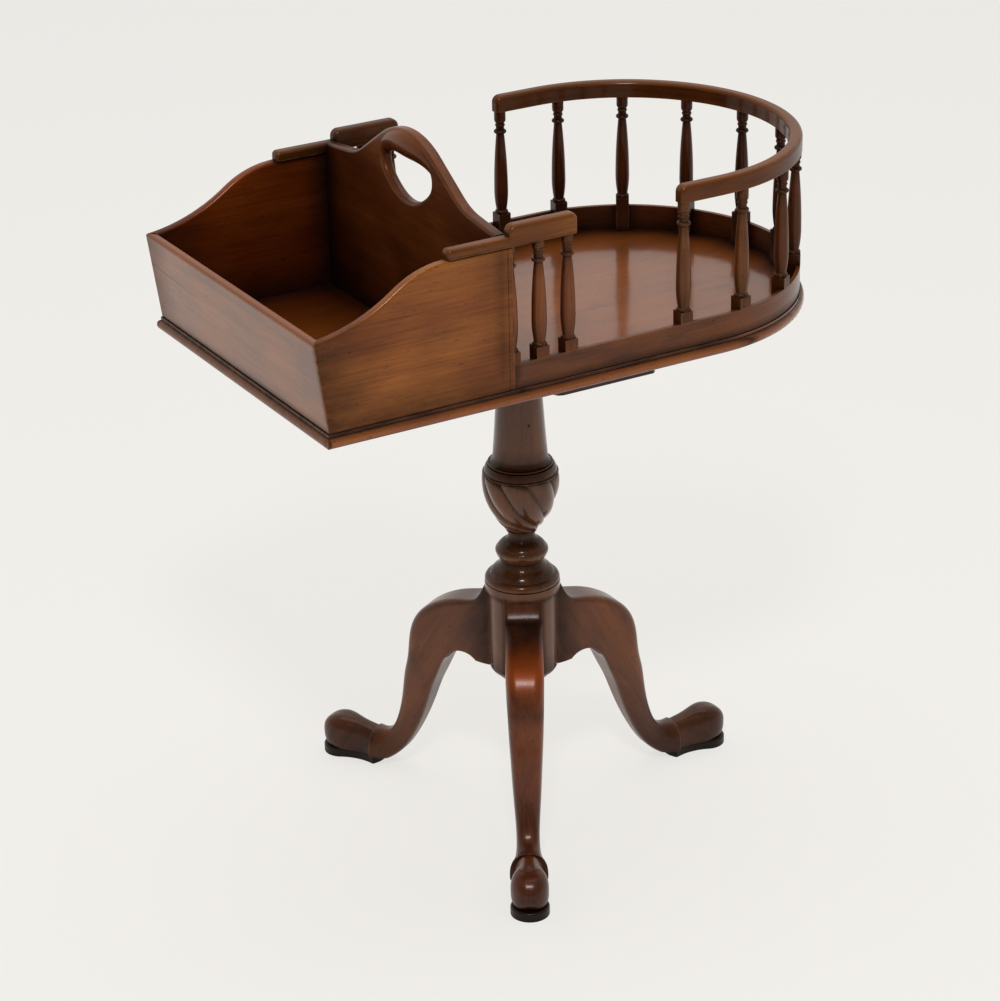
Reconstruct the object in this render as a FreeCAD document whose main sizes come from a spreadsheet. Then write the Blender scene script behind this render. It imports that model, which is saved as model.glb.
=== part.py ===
import FreeCAD, Part

import math
import operator
import os

import Sketcher
from FreeCAD import Placement, Rotation, Vector

# A tray-top tea table of the supper-canterbury kind.  A D-shaped tray stands on a
# turned pillar with three scrolled legs.  The square end of the tray is a cutlery box
# of canted boards, the round end is a spindled plate gallery, and the arched board
# between them is pierced and swollen into a lifting handle.
#
# Frame: millimetres, +Z up, +X towards the round end, origin on the floor under the
# pillar.  The table is the same on its front (-Y) and its back (+Y).

DIMENSIONS = [
    # name, value, what it measures
    ("tray_half_width", 175.5, "pillar axis to the outer face of panels and rim"),
    ("end_face", 301, "pillar axis to the outer face of the end board, at the tray floor"),
    ("curve_center", 123, "pillar axis to the centre of the round end"),
    ("tray_floor", 548.5, "ground to the top of the base board"),
    ("base_thickness", 14, "base board"),
    ("nose_reach", 4.5, "base board nose beyond the panels and rim"),
    ("nose_round", 5, "radius of both edges of the nose"),
    ("quirk_height", 3, "small step on top of the nose"),
    ("quirk_reach", 1.2, "that step beyond the panels and rim"),
    ("board_thickness", 9.5, "side panels and end board"),
    ("end_height", 89, "end board"),
    ("end_cant", 11.8, "outward lean of the end board over its height"),
    ("edge_round", 3, "radius on the top edges of the box boards"),
    ("panel_height", 139, "side panels, base board to flat top"),
    ("panel_flat", 174.5, "pillar axis to the outer end of the flat top"),
    ("ogee_turn", 228, "pillar axis to the turning point of the ogee"),
    ("ogee_turn_height", 121, "base board to that turning point"),
    ("ogee_hollow", 6, "depth of the hollow half of the ogee"),
    ("divider_face", 107.5, "pillar axis to the gallery side of the divider"),
    ("divider_thickness", 12, "divider board"),
    ("divider_height", 204.5, "base board to the top of the grip"),
    ("hump_radius", 91, "outline of the handle arch"),
    ("shoulder_place", 103.6, "middle plane to where the lines of flank and shoulder cross"),
    ("shoulder_angle", 6.8, "slope of the shoulder beside the cap rail, in degrees"),
    ("hollow_reach", 16, "hollow between flank and shoulder, from that crossing"),
    ("divider_round", 3.2, "radius on the top edges of the divider"),
    ("hole_round", 4.6, "radius on the edges of the hand hole"),
    ("hole_half_width", 46.6, "hand hole"),
    ("hole_half_height", 23, "hand hole"),
    ("hole_drop", 46.5, "top of the grip to the middle of the hand hole"),
    ("grip_depth", 28, "grip at its middle, measured across the arch"),
    ("grip_thickness", 23.5, "grip at its middle, measured through the board"),
    ("grip_end_depth", 15, "grip at its ends, measured across the arch"),
    ("grip_end_inset", 0.6, "ends of the grip inside the faces of the board"),
    ("grip_sink", 2.5, "ends of the grip below the outline of the arch"),
    ("grip_spread", 42, "half angle of the swollen grip, in degrees"),
    ("rail_width", 13, "cap rails and gallery rail"),
    ("rail_round", 4, "radius on the long top edges of the rails"),
    ("cap_low", 9.5, "cap rail over the side panel"),
    ("cap_high", 20, "cap rail over the low spindles"),
    ("cap_step", 2.5, "high part of the cap rails beyond the gallery face of the divider"),
    ("cap_end", 37, "pillar axis to the free end of the cap rails"),
    ("cap_end_round", 7.5, "radius of the free ends of the high rails"),
    ("cap_step_round", 4.5, "radius of the outer end of the low part"),
    ("rim_thickness", 4, "gallery rim"),
    ("rim_height", 25, "gallery rim"),
    ("gallery_height", 144.7, "base board to the underside of the gallery rail"),
    ("gallery_rail_depth", 16.8, "gallery rail"),
    ("gallery_rail_end", 75.5, "pillar axis to the free ends of the gallery rail"),
    ("spindle_inset", 6.8, "spindle axes inside the outer face of the rim"),
    ("rail_overhang", 6.9, "free ends of the gallery rail beyond the last spindle axes"),
    ("low_spindle_pitch", 31, "spindles under the cap rails"),
    ("block_height", 36, "square foot of each spindle"),
    ("gallery_collar", 11.2, "top collar of the gallery spindles"),
    ("low_collar", 9, "top collar of the low spindles"),
    ("spindle_neck", 8.5, "neck between the bead and the top collar"),
    ("bead_height", 3.7, "bead of each spindle"),
    ("bead_swell", 2.4, "bead of each spindle beyond its neck"),
    ("ring_rise", 3.8, "bead to the small ring on the neck"),
    ("ring_height", 2.1, "small ring on the neck"),
    ("waist_radius", 5.4, "spindle just above its block"),
    ("belly_radius", 7.15, "spindle at its fullest"),
    ("neck_radius", 4, "spindle above its belly"),
    ("collar_radius", 5.9, "top collar of each spindle"),
    ("bearer_inset", 8, "ends of the bearer inside the outer faces of the panels"),
    ("bearer_width", 108, "bearer"),
    ("bearer_thickness", 13.5, "bearer"),
    ("bevel_length", 25.5, "bevel at each end of the bearer"),
    ("bevel_rise", 6, "bevel at each end of the bearer"),
    ("bearer_corner", 4, "small chamfer on the corners of the bearer"),
    ("tenon_radius", 16, "pillar tenon through the bearer"),
    ("screw_place_x", 36, "bearer screws from the middle plane"),
    ("screw_place_y", 105, "bearer screws from the middle plane"),
    ("screw_head_radius", 4.6, "countersunk bearer screws"),
    ("screw_shank_radius", 2.3, "countersunk bearer screws"),
    ("screw_bite", 7, "screw length inside the base board"),
    ("hub_radius", 35, "turned hub that carries the legs"),
    ("hub_bottom", 160, "ground to the foot of the hub"),
    ("band_reach", 3.4, "band above the hub, beyond it"),
    ("band_bottom", 246.5, "ground to the band above the hub"),
    ("bulb_bottom", 313.2, "ground to the foot of the gadrooned bulb"),
    ("bulb_top", 375, "ground to the top of the gadrooned bulb"),
    ("bulb_radius", 39.4, "gadrooned bulb at its fullest"),
    ("gadroon_depth", 3.3, "grooves between the gadroons at the fullest place"),
    ("gadroon_twist", 132, "turn of the gadroons from the top to the foot, in degrees"),
    ("gadroon_phase", 203, "azimuth of one groove at the top of the bulb, in degrees"),
    ("leg_reach", 247.5, "pillar axis to the toe"),
    ("leg_half_width", 19.5, "leg at the knee"),
    ("ball_bow", 23.5, "round front of the foot, from its middle to the toe"),
    ("ball_height", 24.5, "ground to the middle of that round front"),
    ("ball_rise", 20.2, "half height of the round front"),
    ("ball_half_width", 19, "half width of the round front"),
    ("key_root", 6, "half width of the dovetail key at the hub surface"),
    ("key_head", 9, "half width of the dovetail key at its inner edge"),
    ("key_depth", 11, "dovetail key inside the hub"),
    ("key_top", 236, "ground to the top of the dovetail key"),
    ("pad_thickness", 9.5, "foot pads"),
    ("pad_round", 2.5, "radius on the top edge of the foot pads"),
    ("ball_length", 29, "round front of the foot pads, from the toe to its neck"),
    ("neck_half_width", 17, "foot pads where the round front starts"),
    ("waist_hollow", 3.4, "hollow in each side of the foot pads"),
    ("heel_start", 175.5, "pillar axis to the back of the foot pads"),
    ("heel_bow", 5, "bow of the back of the foot pads"),
    ("heel_half_width", 15, "foot pads at the corners of the heel"),
]

GALLERY_SPINDLES = 10
LOW_SPINDLES = 3
LEG_AZIMUTHS = (0, 120, -120)
GADROONS = 8
BULB_SECTIONS = 14

# Egg of the bulb: its foot, the share of its height where it is widest, how full it is
# below that and how far it draws in above.
BULB_FOOT = 0.41
BULB_WIDEST = 0.95
BULB_FULLNESS = 2.3
BULB_TUCK = 0.02

# Share of the gadroons' turn that they make close to the foot, and how close.
CURL_SHARE = 0.57
CURL_POWER = 6.2

# The swollen grip: ovals each side of its crown, how quickly they die away, and the
# share of its spread at which the last one lies.
GRIP_STEPS = 4
GRIP_FADE = 1.5
GRIP_ENDS = 0.94

# Turned outline of the pillar below and above the bulb, read upwards: radius, height
# above the ground, and how far the next stretch swells (+) or hollows (-).
PILLAR_BASE = [
    (0, 145, 0),
    (16, 145, 1.2),
    (22, 148, 0),
    (23, 148.8, 1.2),
    (27.6, 152, 0),
    (28.8, 153.2, 1.2),
    ("hub_radius", "hub_bottom", 0),
    ("hub_radius", "band_bottom", 0),
    ("band_radius", "band_bottom", 0.3),
    ("band_radius", 255.4, 0),
    (37.4, 256, 0),
    (38.1, 256.6, 1.6),
    (34.2, 263.4, 0),
    (33.2, 263.8, 0.9),
    (25.6, 272.2, -0.6),
    (21.4, 278.8, 0),
    (22, 279.2, 0.5),
    (26.6, 287.4, 0.9),
    (25.6, 293, 0),
    (25, 293.6, 1),
    (17.2, 300.4, -0.7),
    (14, 305, -0.3),
    (13.8, 310.4, 0),
    (14.8, 310.6, 0.9),
    (14.8, "bulb_bottom", 0),
]
PILLAR_SHAFT = [
    (36.4, "bulb_top", 0),
    (37.8, 375.4, 0.7),
    (37.8, 377.2, 0),
    (37, 377.6, 0.5),
    (34.2, 384.6, 0),
    (32.4, 385, 0),
    (32.4, 385.2, 0.9),
    (32.2, 387.6, 0),
    (30.8, 387.8, -0.9),
    (27.7, 396, -0.5),
]
SHAFT_TOP_RADIUS = 20

# Side view and girth of a leg: top edge (radius, height), bottom edge (radius, height),
# half width, flat share of the top and of the bottom, and the share of the height over
# which the top and the bottom corners turn.  The shank runs from the hub down to the
# sharp heel, and the foot starts inside it.
SHANK_STATIONS = [
    (28, 262, 28, 150, 19.5, 0.80, 0.90, 0.04, 0.03),
    (34.5, 249.5, 34, 150, 19.5, 0.80, 0.90, 0.04, 0.03),
    (40, 238.5, 40, 150, 19.5, 0.78, 0.90, 0.05, 0.03),
    (48, 229, 47, 151, 19.5, 0.75, 0.90, 0.06, 0.03),
    (60, 224.6, 56, 152, 19.5, 0.68, 0.90, 0.09, 0.03),
    (80, 220, 66, 153.5, 19.4, 0.58, 0.90, 0.13, 0.03),
    (100, 211, 73.5, 155, 19.2, 0.50, 0.88, 0.16, 0.04),
    (116, 198.5, 80, 154.5, 19, 0.45, 0.85, 0.20, 0.05),
    (127, 181, 86.5, 149, 18.5, 0.42, 0.80, 0.25, 0.08),
    (132, 158, 92.5, 138, 17.9, 0.40, 0.75, 0.30, 0.12),
    (137, 130, 101, 119, 16.8, 0.38, 0.65, 0.36, 0.18),
    (143, 98, 111, 93, 15.2, 0.34, 0.55, 0.42, 0.24),
    (149, 71, 121, 67, 13.5, 0.28, 0.45, 0.46, 0.30),
    (156, 53, 133, 43, 12, 0.22, 0.40, 0.50, 0.34),
    (163, 43.8, 145, 25, 11.8, 0.16, 0.40, 0.55, 0.32),
    (171, 40, 157.5, 13, 13.2, 0.12, 0.50, 0.62, 0.28),
    (178, 38.9, 170, 6, 16.4, 0.10, 0.60, 0.66, 0.28),
    (183, 38.6, 182, 4.5, 19.3, 0.10, 0.70, 0.68, 0.28),
]
FOOT_STATIONS = [
    (168, 33, 168, 2, 7, 0.10, 0.60, 0.60, 0.28),
    (180, 36.6, 180, 2, 15, 0.10, 0.70, 0.64, 0.26),
    (189, 38.9, 189, 2, 14.4, 0.12, 0.75, 0.62, 0.22),
    (199, 40.8, 199, 2.5, 14.4, 0.14, 0.70, 0.58, 0.24),
    (211, 43.2, 211, 3.5, 16.8, 0.16, 0.60, 0.52, 0.30),
]
BALL_ANGLES = (0, 25, 48, 68, 84)
STANDARD_REACH = 247.5

# Cut under the knee: the start, low point and cusp of a shallow lobe beside the hub,
# then the crown and the end of a hollow arch.
ARCH = [(22, 159.2), (36, 158.2), (46.4, 159), (60, 165.8), (81, 156.5)]

# Half outline of the hand hole, from its lowest point round to its highest, as shares
# of its half width and half height: nearly flat above, where the grip covers it.
HOLE_SHAPE = [(0, -1), (0.43, -0.82), (0.67, -0.55), (0.86, -0.24), (0.965, 0.04), (1, 0.35),
              (0.955, 0.67), (0.79, 0.90), (0.43, 0.98)]

TOLERANCE = 0.01
BEYOND = 20


class Size:
    """A size that carries its number and the formula that ties it to the sheet."""

    def __init__(self, number, formula):
        self.number = number
        self.formula = formula

    def __add__(self, other):
        return combine(self, "+", other)

    def __sub__(self, other):
        return combine(self, "-", other)

    def __mul__(self, other):
        return combine(self, "*", other)

    def __truediv__(self, other):
        return combine(self, "/", other)

    def __neg__(self):
        return combine(0, "-", self)


OPERATIONS = {"+": operator.add, "-": operator.sub, "*": operator.mul, "/": operator.truediv}


def as_size(item):
    return item if isinstance(item, Size) else Size(float(item), repr(float(item)))


def combine(left, sign, right):
    left = as_size(left)
    right = as_size(right)
    number = OPERATIONS[sign](left.number, right.number)
    return Size(number, f"({left.formula} {sign} {right.formula})")


def dim(alias):
    """A named size of the sheet."""
    return Size(float(sheet.get(alias)), f"Dimensions.{alias}")


def value(alias):
    return float(sheet.get(alias))


def bind(item, name, size):
    """Set a property of an object and tie it to the sheet."""
    size = as_size(size)
    setattr(item, name, size.number)
    item.setExpression(name, size.formula)


def new_body(label, place=None):
    body = doc.addObject("PartDesign::Body", label)
    body.Label = label
    if place is not None:
        body.Placement = place
    return body


def new_sketch(body, name, role, lift=0):
    """A sketch on one of the body's own origin planes, lifted along its normal."""
    lift = as_size(lift)
    plane = next(item for item in body.Origin.OriginFeatures if item.Role == role)
    sketch = body.newObject("Sketcher::SketchObject", name)
    sketch.AttachmentSupport = [(plane, "")]
    sketch.MapMode = "FlatFace"
    sketch.AttachmentOffset = Placement(Vector(0, 0, lift.number), Rotation())
    sketch.setExpression("AttachmentOffset.Base.z", lift.formula)
    return sketch


def edge_ends(sketch, edge, start):
    """The point numbers of an edge, the one at the given start first."""
    near_first = (sketch.getPoint(edge, 1) - start).Length < (sketch.getPoint(edge, 2) - start).Length
    return (1, 2) if near_first else (2, 1)


def draw_outline(sketch, points):
    """Draw a closed outline, drawn anticlockwise, and pin its corners to the sheet.

    Each point is (x, y) or (x, y, swell): swell is how far the stretch to the next
    point bows outwards, or inwards where it is negative.
    """
    places = [(as_size(point[0]), as_size(point[1])) for point in points]
    spots = [Vector(x.number, y.number, 0) for x, y in places]
    count = len(points)
    first = sketch.GeometryCount
    for index, point in enumerate(points):
        start = spots[index]
        finish = spots[(index + 1) % count]
        swell = point[2] if len(point) > 2 else 0
        if swell:
            run = finish - start
            outward = Vector(run.y, -run.x, 0).normalize()
            middle = (start + finish) * 0.5 + outward * swell
            sketch.addGeometry(Part.Arc(start, middle, finish), False)
        else:
            sketch.addGeometry(Part.LineSegment(start, finish), False)
    for index in range(count):
        edge = first + index
        following = first + (index + 1) % count
        near, far = edge_ends(sketch, edge, spots[index])
        joined = edge_ends(sketch, following, spots[(index + 1) % count])[0]
        sketch.addConstraint(Sketcher.Constraint("Coincident", edge, far, following, joined))
        for kind, size in zip(("DistanceX", "DistanceY"), places[index]):
            pin = sketch.addConstraint(Sketcher.Constraint(kind, -1, 1, edge, near, size.number))
            sketch.setExpression(f"Constraints[{pin}]", size.formula)


def draw_circle(sketch, x, y, radius):
    x = as_size(x)
    y = as_size(y)
    radius = as_size(radius)
    spot = Vector(x.number, y.number, 0)
    edge = sketch.addGeometry(Part.Circle(spot, Vector(0, 0, 1), radius.number), False)
    pins = [
        (Sketcher.Constraint("DistanceX", -1, 1, edge, 3, x.number), x),
        (Sketcher.Constraint("DistanceY", -1, 1, edge, 3, y.number), y),
        (Sketcher.Constraint("Radius", edge, radius.number), radius),
    ]
    for constraint, size in pins:
        pin = sketch.addConstraint(constraint)
        sketch.setExpression(f"Constraints[{pin}]", size.formula)


def pad(body, sketch, length, direction=None, midplane=False):
    feature = body.newObject("PartDesign::Pad", "Pad")
    feature.Profile = sketch
    bind(feature, "Length", length)
    if midplane:
        feature.SideType = "Symmetric"
    if direction is not None:
        feature.UseCustomVector = True
        feature.Direction = direction
        feature.AlongSketchNormal = True
    return feature


def pocket(body, sketch, length, direction=None, midplane=False, upwards=False):
    """Cut along the sketch, and make sure that something was cut."""
    before = body.Tip
    doc.recompute()
    volume = before.Shape.Volume
    feature = body.newObject("PartDesign::Pocket", "Pocket")
    feature.Profile = sketch
    bind(feature, "Length", length)
    if midplane:
        feature.SideType = "Symmetric"
    if direction is not None:
        feature.UseCustomVector = True
        feature.Direction = direction
        feature.AlongSketchNormal = True
    feature.Reversed = upwards
    doc.recompute()
    if feature.Shape.Volume >= volume - TOLERANCE:
        raise RuntimeError(f"{body.Label}: a pocket cut nothing")
    return feature


def revolve(body, sketch, angle=360):
    feature = body.newObject("PartDesign::Revolution", "Revolution")
    feature.Profile = sketch
    feature.ReferenceAxis = (sketch, ["V_Axis"])
    feature.Angle = angle
    feature.Midplane = angle < 360
    return feature


def round_edges(body, radius, wanted):
    """Round the edges of the body's last feature that pass a test."""
    doc.recompute()
    base = body.Tip
    names = [f"Edge{number}" for number, edge in enumerate(base.Shape.Edges, 1) if wanted(edge)]
    if not names:
        raise RuntimeError(f"{body.Label}: no edge to round")
    feature = body.newObject("PartDesign::Fillet", "Fillet")
    feature.Base = (base, names)
    bind(feature, "Radius", radius)
    return feature


def at_height(edge, height):
    box = edge.BoundBox
    return abs(box.ZMin - height) < TOLERANCE and abs(box.ZMax - height) < TOLERANCE


def boolean(kind, label, base, tool):
    result = doc.addObject(kind, label)
    result.Label = label
    result.Base = base
    result.Tool = tool
    return result


def solid_feature(label, shape, place=None):
    feature = doc.addObject("Part::Feature", label)
    feature.Label = label
    feature.Shape = shape
    if place is not None:
        feature.Placement = place
    return feature


def turned_about_pillar(azimuth):
    return Placement(Vector(0, 0, 0), Rotation(Vector(0, 0, 1), azimuth))


def make_sheet():
    """Write every driving dimension into the sheet under its own name."""
    sheet.set("A1", "name")
    sheet.set("B1", "value")
    sheet.set("C1", "what it measures")
    for row, (alias, number, note) in enumerate(DIMENSIONS, 2):
        sheet.set(f"A{row}", alias)
        sheet.set(f"B{row}", str(number))
        sheet.set(f"C{row}", note)
        sheet.setAlias(f"B{row}", alias)
    doc.recompute()


# ---------------------------------------------------------------- the tray

def tray_outline(offset):
    """Plan of the tray, a given distance outside its faces: square end, round end."""
    reach = dim("tray_half_width") + offset
    square_end = -(dim("end_face") + offset)
    center = dim("curve_center")
    return [
        (square_end, -reach),
        (center, -reach, reach.number),
        (center, reach),
        (square_end, reach),
    ]


def make_base_board():
    """D-shaped board with a rounded nose and a small step on top of it."""
    body = new_body("base_board_blank")
    underside = dim("tray_floor") - dim("base_thickness")
    nose_depth = dim("base_thickness") - dim("quirk_height")
    nose = new_sketch(body, "NosePlan", "XY_Plane", underside)
    draw_outline(nose, tray_outline(dim("nose_reach")))
    pad(body, nose, nose_depth)
    round_edges(body, dim("nose_round"), lambda edge: edge.BoundBox.ZLength < TOLERANCE)
    step = new_sketch(body, "StepPlan", "XY_Plane", underside + nose_depth)
    draw_outline(step, tray_outline(dim("quirk_reach")))
    pad(body, step, dim("quirk_height"))
    return body


def cant_direction():
    """The way in which the end board and its mitres lean."""
    return Vector(-value("end_cant"), 0, value("end_height"))


def make_end_board():
    """Canted board across the square end, mitred into both side panels."""
    body = new_body("end_board")
    outer_x = -dim("end_face")
    inner_x = outer_x + dim("board_thickness")
    outer_y = dim("tray_half_width")
    inner_y = outer_y - dim("board_thickness")
    plan = new_sketch(body, "Plan", "XY_Plane", dim("tray_floor"))
    corners = [(outer_x, outer_y), (outer_x, -outer_y), (inner_x, -inner_y), (inner_x, inner_y)]
    draw_outline(plan, corners)
    pad(body, plan, dim("end_height"), cant_direction())
    top = value("tray_floor") + value("end_height")
    inner_length = 2 * inner_y.number - TOLERANCE
    round_edges(
        body, dim("edge_round"),
        lambda edge: at_height(edge, top) and edge.BoundBox.YLength > inner_length,
    )
    return body


def ogee_swells():
    """Bows of the hollow and the swelling part of the ogee, tangent where they meet."""
    low = Vector(-value("end_face") - value("end_cant"), value("end_height"), 0)
    turn = Vector(-value("ogee_turn"), value("ogee_turn_height"), 0)
    high = Vector(-value("panel_flat"), value("panel_height"), 0)
    first = turn - low
    second = high - turn
    first_half_angle = 2 * math.atan(2 * value("ogee_hollow") / first.Length)
    heading = math.atan2(first.y, first.x) + first_half_angle
    second_half_angle = heading - math.atan2(second.y, second.x)
    swelling = second.Length / 2 * math.tan(second_half_angle / 2)
    return value("ogee_hollow"), swelling


def make_side_panel(label, side):
    """Panel whose top runs down in an ogee to the end board; side is -1 front, 1 back."""
    body = new_body(label)
    outer = dim("tray_half_width")
    floor = dim("tray_floor")
    thickness = dim("board_thickness")
    end = -dim("end_face")
    hollow, swelling = ogee_swells()
    # The XZ plane looks along +Y, so its normal is -Y.
    face = outer if side < 0 else -(outer - thickness)
    profile = new_sketch(body, "Profile", "XZ_Plane", face - thickness)
    outline = [
        (end, floor),
        (-dim("divider_face"), floor),
        (-dim("divider_face"), floor + dim("panel_height")),
        (-dim("panel_flat"), floor + dim("panel_height"), swelling),
        (-dim("ogee_turn"), floor + dim("ogee_turn_height"), -hollow),
        (end - dim("end_cant"), floor + dim("end_height")),
    ]
    draw_outline(profile, outline)
    pad(body, profile, thickness)
    lowest = value("tray_floor") + value("end_height") - TOLERANCE
    flat_start = -value("panel_flat") + TOLERANCE
    round_edges(
        body, dim("edge_round"),
        lambda edge: edge.BoundBox.ZMin > lowest
        and edge.BoundBox.XMax < flat_start
        and edge.BoundBox.YLength < TOLERANCE
        and edge.BoundBox.ZLength > 1,
    )
    cut_mitre(body, side)
    return body


def cut_mitre(body, side):
    """Take the end board's share of the corner off a side panel."""
    outer_x = -dim("end_face")
    outer_y = dim("tray_half_width") * side
    depth = dim("board_thickness")
    spare = BEYOND
    seat = new_sketch(body, "MitrePlan", "XY_Plane", dim("tray_floor") - 1)
    lean = dim("end_cant") / dim("end_height")
    start_x = outer_x + lean
    near = (start_x - spare, outer_y + side * spare)
    far = (start_x + depth + spare, outer_y - (depth + spare) * side)
    inside = (start_x - spare, outer_y - (depth + spare) * side)
    corners = [near, inside, far] if side > 0 else [near, far, inside]
    draw_outline(seat, corners)
    height = dim("end_height") + BEYOND
    pocket(body, seat, height, cant_direction())


def divider_outline():
    """Half outline of the divider's top: arch, straight flank, hollow and shoulder.

    The shoulder ends flush with the low part of the cap rail.  The flank is the tangent
    from its crossing with the shoulder's line to the arch.
    """
    radius = value("hump_radius")
    center_z = value("tray_floor") + value("divider_height") - radius
    notch_y = value("tray_half_width") - value("rail_width")
    notch_z = value("tray_floor") + value("panel_height") + value("cap_low")
    shoulder = math.radians(value("shoulder_angle"))
    cross_y = value("shoulder_place")
    cross_z = notch_z + (notch_y - cross_y) * math.tan(shoulder)
    rise = cross_z - center_z
    flank = math.pi / 2 - math.atan2(rise, cross_y) - math.acos(radius / math.hypot(cross_y, rise))
    reach = value("hollow_reach")
    foot_y = cross_y - reach * math.cos(flank)
    foot_z = cross_z + reach * math.sin(flank)
    start_y = cross_y + reach * math.cos(shoulder)
    start_z = cross_z - reach * math.sin(shoulder)
    chord = math.hypot(start_y - foot_y, start_z - foot_z)
    return {
        "arch": (radius * math.sin(flank), center_z + radius * math.cos(flank)),
        "arch_swell": radius * (1 - math.cos(flank)),
        "foot": (foot_y, foot_z),
        "hollow": chord / 2 * math.tan((flank - shoulder) / 4),
        "shoulder": (start_y, start_z),
    }


def make_divider_board():
    """Arched board with a hand hole, a swollen grip and notches for the cap rails."""
    body = new_body("divider_board")
    shape = divider_outline()
    floor = dim("tray_floor")
    edge_y = dim("tray_half_width") - dim("board_thickness")
    notch_y = dim("tray_half_width") - dim("rail_width")
    seat = floor + dim("panel_height")
    notch_z = seat + dim("cap_low")
    arch_y, arch_z = shape["arch"]
    foot_y, foot_z = shape["foot"]
    shoulder_y, shoulder_z = shape["shoulder"]
    profile = new_sketch(body, "Profile", "YZ_Plane", -dim("divider_face") - dim("divider_thickness"))
    outline = [
        (-edge_y, floor),
        (edge_y, floor),
        (edge_y, seat),
        (notch_y, seat),
        (notch_y, notch_z),
        (shoulder_y, shoulder_z, -shape["hollow"]),
        (foot_y, foot_z),
        (arch_y, arch_z, shape["arch_swell"]),
        (-arch_y, arch_z),
        (-foot_y, foot_z, -shape["hollow"]),
        (-shoulder_y, shoulder_z),
        (-notch_y, notch_z),
        (-notch_y, seat),
        (-edge_y, seat),
    ]
    draw_outline(profile, outline)
    pad(body, profile, dim("divider_thickness"))
    lowest = seat.number + 1
    round_edges(
        body, dim("divider_round"),
        lambda edge: edge.BoundBox.XLength < TOLERANCE
        and edge.BoundBox.YLength > 1
        and edge.BoundBox.ZMin > lowest,
    )
    cut_hand_hole(body)
    add_grip(body)
    return body


def hole_outline():
    """Closed smooth curve of the hand hole, the same on its left and its right."""
    wide = value("hole_half_width")
    tall = value("hole_half_height")
    height = value("tray_floor") + value("divider_height") - value("hole_drop")
    half = [(wide * across, height + tall * up) for across, up in HOLE_SHAPE]
    crown = [(0, height + tall)]
    mirrored = [(-across, up) for across, up in reversed(half[1:])]
    points = [Vector(across, up, 0) for across, up in half + crown + mirrored]
    curve = Part.BSplineCurve()
    curve.interpolate(Points=points, PeriodicFlag=True)
    return curve


def cut_hand_hole(body):
    """Hole that the fingers pass through, with rounded edges."""
    tall = value("hole_half_height")
    sketch = new_sketch(body, "HandHole", "YZ_Plane", -dim("divider_face") - dim("divider_thickness") / 2)
    sketch.addGeometry(hole_outline(), False)
    pocket(body, sketch, dim("divider_thickness") + BEYOND, midplane=True)
    round_edges(
        body, dim("hole_round"),
        lambda edge: edge.BoundBox.XLength < TOLERANCE
        and edge.BoundBox.ZLength > 1.9 * tall
        and edge.isClosed(),
    )


def grip_section(angle):
    """Middle, half depth and half thickness of the grip at an angle from the crown."""
    swell = math.cos(math.radians(90 * angle / value("grip_spread"))) ** GRIP_FADE
    end_depth = value("grip_end_depth")
    end_thickness = value("divider_thickness") - 2 * value("grip_end_inset")
    depth = end_depth + (value("grip_depth") - end_depth) * swell
    thickness = end_thickness + (value("grip_thickness") - end_thickness) * swell
    top = value("hump_radius") - value("grip_sink") * (1 - swell)
    return top - depth / 2, depth / 2, thickness / 2


def add_grip(body):
    """Swell the arch over the hole into a grip, by ovals set square to the arch."""
    center_x = -value("divider_face") - value("divider_thickness") / 2
    center_z = value("tray_floor") + value("divider_height") - value("hump_radius")
    sections = []
    for step in range(-GRIP_STEPS, GRIP_STEPS + 1):
        angle = value("grip_spread") * GRIP_ENDS * step / GRIP_STEPS
        sketch = new_sketch(body, "GripOval", "XZ_Plane")
        sketch.clearExpression("AttachmentOffset.Base.z")
        turn = Rotation(Vector(1, 0, 0), -angle)
        sketch.AttachmentOffset = Placement(Vector(center_x, center_z, 0), turn)
        reach, half_depth, half_thickness = grip_section(abs(angle))
        middle = Vector(0, reach, 0)
        far_end = Vector(0, reach + half_depth, 0)
        side = Vector(half_thickness, reach, 0)
        sketch.addGeometry(Part.Ellipse(far_end, side, middle), False)
        sections.append(sketch)
    loft = body.newObject("PartDesign::AdditiveLoft", "Grip")
    loft.Profile = sections[0]
    loft.Sections = sections[1:]


def make_cap_rail(label, side):
    """Stepped rail: low over the side panel, high over the low spindles."""
    body = new_body(label)
    width = dim("rail_width")
    outer = dim("tray_half_width")
    face = outer if side < 0 else -(outer - width)
    seat = dim("tray_floor") + dim("panel_height")
    start = -dim("panel_flat")
    step = -dim("divider_face") - dim("cap_step")
    end = -dim("cap_end")
    low = seat + dim("cap_low")
    high = seat + dim("cap_high")
    profile = new_sketch(body, "Profile", "XZ_Plane", face - width)
    outline = [
        (start, seat), (end, seat), (end, high), (step, high), (step, low), (start, low),
    ]
    draw_outline(profile, outline)
    pad(body, profile, width)
    round_edges(
        body, dim("cap_end_round"),
        lambda edge: edge.BoundBox.YLength > width.number - TOLERANCE and at_height(edge, high.number),
    )
    round_edges(
        body, dim("cap_step_round"),
        lambda edge: edge.BoundBox.YLength > width.number - TOLERANCE
        and at_height(edge, low.number) and edge.BoundBox.XMax < start.number + TOLERANCE,
    )
    round_edges(
        body, dim("rail_round"),
        lambda edge: edge.BoundBox.YLength < TOLERANCE and edge.BoundBox.ZMax > seat.number + 1
        and not (edge.BoundBox.XLength < TOLERANCE and edge.BoundBox.ZMin < low.number - 1),
    )
    return body


# ---------------------------------------------------------------- the gallery

def horseshoe(inset, thickness, end):
    """Plan of a strip that follows the round end, from end to end of its straights."""
    outer = dim("tray_half_width") - inset
    inner = outer - thickness
    center = dim("curve_center")
    return [
        (end, -outer),
        (center, -outer, outer.number),
        (center, outer),
        (end, outer),
        (end, inner),
        (center, inner, -inner.number),
        (center, -inner),
        (end, -inner),
    ]


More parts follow.
